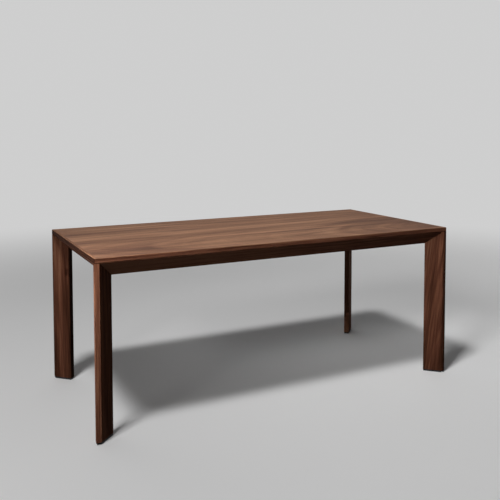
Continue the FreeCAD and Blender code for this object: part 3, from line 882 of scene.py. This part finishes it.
def make_nut():
    """A hexagon with its corners turned off to a cone at both faces, and a countersunk hole."""
    begin()
    bpy.ops.mesh.primitive_cylinder_add(
        vertices=6, radius=NUT_FLATS / math.sqrt(3), depth=NUT_HEIGHT,
        location=(0, 0, NUT_HEIGHT / 2), rotation=(0, 0, math.radians(NUT_TURN)))
    nut = bpy.context.object
    nut.name = "leg_nut"
    settle()
    bevel = turned("nut_bevel", both_faces(NUT_BEVEL, NUT_HEIGHT), NUT_BEVEL_VERTICES)
    hole = turned("nut_hole", both_faces(NUT_HOLE, NUT_HEIGHT))
    cut(nut, bevel, "INTERSECT")
    cut(nut, hole, "DIFFERENCE")
    settle()
    return nut


def place_copy(master, name, matrix, material, node):
    """One placed copy of a piece, with its own mesh, that stands for a solid of the frame."""
    piece = master.copy()
    piece.data = master.data.copy()
    piece.name = name
    piece.data.transform(matrix)
    bpy.context.scene.collection.objects.link(piece)
    piece.data.materials.clear()
    piece.data.materials.append(material)
    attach(piece, "root")
    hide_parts(node)


def place_behind_legs(master, inwards, node, material):
    """Eight copies of a piece, two behind each leg, with the piece's Z turned inwards."""
    for corner, degrees in CORNERS.items():
        turn = turn_about("Z", degrees) @ turn_about("Y", 90)
        diagonal = turn_about("Z", degrees) @ Vector((inwards, 0, 0))
        for row, drop in BOLT_DROPS.items():
            spot = Vector(corner_point(corner)) + diagonal + Vector((0, 0, UNDERSIDE - drop))
            place_copy(
                master, f"{master.name}_{corner}_{row}",
                Matrix.Translation(spot) @ turn.to_4x4(), material, node)
    bpy.data.objects.remove(master)


def make_leg_hardware():
    """The bolts, washers and nuts that hold the legs to their corner blocks."""
    steel = zinc_plate("zinc_leg_hardware")
    place_behind_legs(make_hanger_bolt(), LEG_END, "hanger_bolts", steel)
    place_behind_legs(make_washer(), BLOCK_END, "leg_washers", steel)
    place_behind_legs(make_nut(), BLOCK_END + WASHER_THICKNESS, "leg_nuts", steel)


def make_glide():
    """A moulded pad with a pointed nose, eased all round, and two countersunk screw holes."""
    begin()
    length = PAD_END - PAD_SHOULDER
    bpy.ops.mesh.primitive_cube_add(
        size=1, location=((PAD_SHOULDER + PAD_END) / 2, 0, PAD_HEIGHT / 2),
        scale=(length, PAD_WIDTH, PAD_HEIGHT))
    pad = bpy.context.object
    pad.name = "glide_pad"
    settle()
    for polygon in pad.data.polygons:
        polygon.select = abs(polygon.center.x - PAD_SHOULDER) < SEAM
    bpy.ops.object.mode_set(mode="EDIT")
    bpy.ops.mesh.select_mode(type="FACE")
    bpy.ops.mesh.extrude_region_move(
        TRANSFORM_OT_translate={"value": (PAD_NOSE - PAD_SHOULDER, 0, 0)})
    bpy.ops.transform.resize(value=(1, 0, 1))
    close_up()
    bpy.ops.object.modifier_add(type="BEVEL")
    bevel = pad.modifiers[-1]
    bevel.width = PAD_EASING
    bevel.segments = PAD_EASING_STEPS
    bevel.limit_method = "ANGLE"
    bevel.angle_limit = math.radians(PAD_EASED_ANGLE)
    bpy.ops.object.modifier_apply(modifier=bevel.name)
    for inwards in PAD_SCREWS:
        hole = turned("screw_hole", PAD_HOLE)
        hole.data.transform(Matrix.Translation((inwards, 0, 0)))
        cut(pad, hole, "DIFFERENCE")
    settle()
    return pad


def make_glides():
    """A pad under each leg."""
    plastic = pad_plastic("black_glide_plastic")
    master = make_glide()
    for corner, degrees in CORNERS.items():
        spot = Matrix.Translation(corner_point(corner)) @ turn_about("Z", degrees).to_4x4()
        place_copy(
            master, f"glide_pad_{corner}", spot, plastic, f"glide_{corner}")
    bpy.data.objects.remove(master)


# ---- studio ----

def make_camera():
    """A camera that looks nearly level, to keep the legs upright, and a lens shifted down."""
    bpy.ops.object.camera_add(location=CAMERA_PLACE)
    camera = bpy.context.object
    camera.name = "camera"
    camera.rotation_euler = (math.radians(90 - CAMERA_DOWN), 0, math.radians(-CAMERA_RIGHT))
    camera.data.lens = CAMERA_LENS
    camera.data.sensor_width = CAMERA_SENSOR
    camera.data.shift_x, camera.data.shift_y = CAMERA_SHIFT
    bpy.context.scene.camera = camera


def make_lamp(name, place, aim, size, power, spread):
    """A square lamp that lights the table and isn't itself seen."""
    bpy.ops.object.light_add(type="AREA", location=place)
    lamp = bpy.context.object
    lamp.name = name
    lamp.data.size = size
    lamp.data.energy = power
    lamp.data.spread = math.radians(spread)
    lamp.visible_camera = False
    lamp.visible_glossy = False
    lamp.rotation_mode = "QUATERNION"
    lamp.rotation_quaternion = (Vector(aim) - Vector(place)).to_track_quat("-Z", "Y")
    return lamp


def make_lamps(floor):
    """All the lamps. The softbox lights the table's near corner, and passes the floor by."""
    lamps = {name: make_lamp(name, *settings) for name, settings in LAMPS.items()}
    passed_by = bpy.data.collections.new("not_lit_by_softbox")
    passed_by.objects.link(floor)
    passed_by.collection_objects[0].light_linking.link_state = "EXCLUDE"
    lamps["softbox"].light_linking.receiver_collection = passed_by


def seen_plainly(tree):
    """1 for what the camera sees, straight or in a gloss or glass, and 0 for light that bounces."""
    path = add(tree, "LightPath").outputs
    either = calculate(tree, "MAXIMUM", path["Is Camera Ray"], path["Is Glossy Ray"])
    return calculate(tree, "MAXIMUM", either, path["Is Transmission Ray"])


def make_world():
    """Pale all round to look at, and as light a soft glow from behind the table."""
    world = bpy.data.worlds.new("studio")
    world.use_nodes = True
    bpy.context.scene.world = world
    tree = world.node_tree
    tree.nodes.clear()
    direction = split(tree, add(tree, "TexCoord").outputs["Generated"])
    glow = ease(tree, direction["Y"], *FILL_GROWTH, FILL_FRONT, FILL_BACK)
    level = mix(tree, "FLOAT", seen_plainly(tree), glow, PALE)
    background = add(tree, "Background", Strength=level, Color=(1.0, 1.0, 1.0, 1.0))
    add(tree, "OutputWorld", Surface=background.outputs[0])


def floor_material():
    """A pale matt floor that turns to the backdrop's own level further out."""
    material, tree = new_material("pale_floor")
    length = add(tree, "VectorMath", {"operation": "LENGTH"})
    connect(tree, table_place(tree), length.inputs[0])
    far = ease(tree, length.outputs["Value"], *FLOOR_FADE)
    seen = seen_plainly(tree)
    shade = mix(tree, "FLOAT", seen, FLOOR_BOUNCE, FLOOR_SEEN)
    matt = add(tree, "BsdfDiffuse", Color=shade)
    glow = add(tree, "Emission", Color=(PALE, PALE, PALE, 1.0))
    mixed = add(tree, "MixShader", Fac=calculate(tree, "MULTIPLY", far, seen))
    connect(tree, matt.outputs[0], mixed.inputs[1])
    connect(tree, glow.outputs[0], mixed.inputs[2])
    add(tree, "OutputMaterial", Surface=mixed.outputs[0])
    return material


def make_floor():
    """A pale floor that fades into the backdrop, and throws little light up under the table."""
    bpy.ops.mesh.primitive_circle_add(
        vertices=FLOOR_VERTICES, radius=FLOOR_RADIUS, fill_type="NGON",
        location=(0, 0, -FLOOR_DROP))
    floor = bpy.context.object
    floor.name = "floor"
    floor.data.materials.append(floor_material())
    return floor


begin()
bpy.context.scene.view_settings.view_transform = "Standard"
dress_top()
dress_lippings()
dress_aprons()
dress_legs()
dress_inside()
dress_screws()
make_leg_hardware()
make_glides()
make_world()
make_lamps(make_floor())
make_camera()
